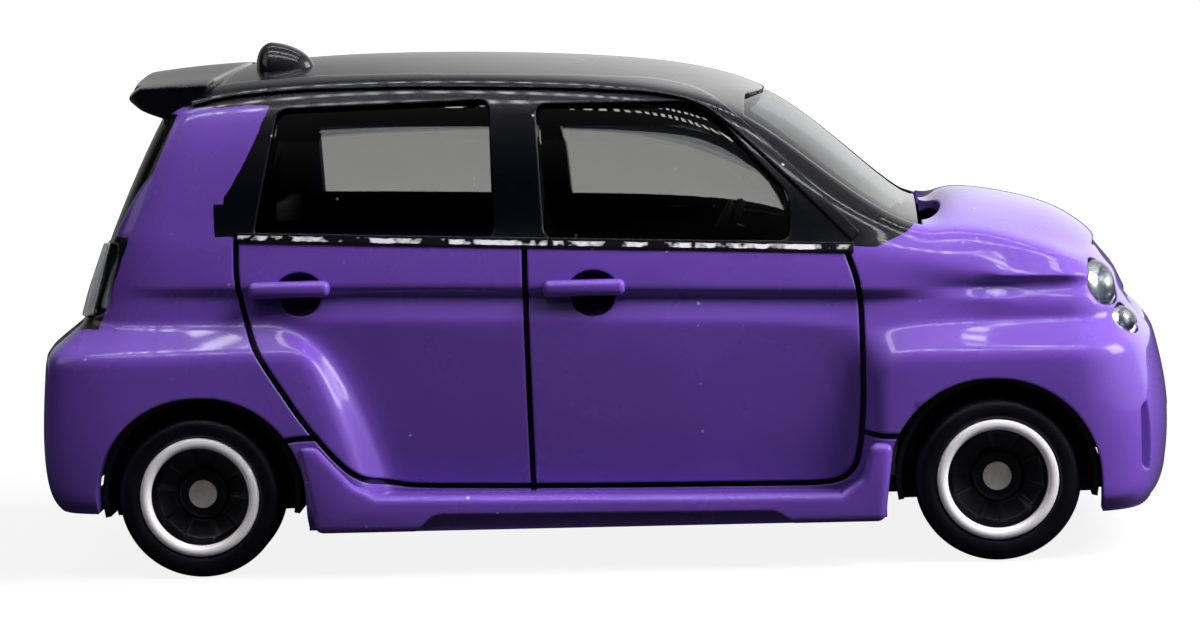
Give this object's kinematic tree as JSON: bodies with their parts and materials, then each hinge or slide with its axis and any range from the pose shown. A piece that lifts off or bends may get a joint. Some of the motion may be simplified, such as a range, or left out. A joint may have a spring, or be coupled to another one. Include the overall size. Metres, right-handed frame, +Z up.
{
  "type": "toy kei car",
  "caption": "Small die-cast toy of a boxy five-door kei car with a black roof, rear spoiler, smoke windows and free-rolling wheels on steel axles.",
  "frame": {"origin": "on the ground, under the middle of the car's bounding box", "axes": "+X forward, +Y to the car's left, +Z up"},
  "size_m": [0.0608, 0.0264, 0.0276],
  "materials": {
    "purple_paint": "glossy purple enamel on a zinc casting, roof masked in black",
    "black_gloss": "glossy black",
    "smoke_clear": "clear smoke-tinted plastic",
    "clear_lens": "clear plastic",
    "black_plastic": "moulded black, satin",
    "steel": "plain pin ends, dulled",
    "wheel_black": "moulded black, half gloss",
    "silver_ring": "stamped silver foil, half matt"
  },
  "bodies": {
    "car_body": {"body_shell": "purple_paint", "roof_spoiler": "black_gloss", "antenna_fin": "black_gloss", "window_insert": "smoke_clear", "headlamp_left": "clear_lens", "headlamp_right": "clear_lens", "tail_lamp_left": "clear_lens", "tail_lamp_right": "clear_lens", "grille_panel": "black_gloss", "lower_grille": "black_plastic", "interior_moulding": "black_plastic", "base_plate": "black_plastic", "rivet_front": "steel", "rivet_rear": "steel"},
    "front_wheelset": {"axle_front": "steel", "wheel_front_left": "wheel_black", "wheel_front_right": "wheel_black", "rim_ring_front_left": "silver_ring", "rim_ring_front_right": "silver_ring"},
    "rear_wheelset": {"axle_rear": "steel", "wheel_rear_left": "wheel_black", "wheel_rear_right": "wheel_black", "rim_ring_rear_left": "silver_ring", "rim_ring_rear_right": "silver_ring"}
  },
  "joints": [
    {"name": "front_wheels_roll", "type": "hinge", "parent": "car_body", "child": "front_wheelset", "pos_m": [0.0208, 0, 0.00435], "axis": [0, 1, 0], "continuous": true},
    {"name": "rear_wheels_roll", "type": "hinge", "parent": "car_body", "child": "rear_wheelset", "pos_m": [-0.0212, 0, 0.00435], "axis": [0, 1, 0], "continuous": true}
  ]
}
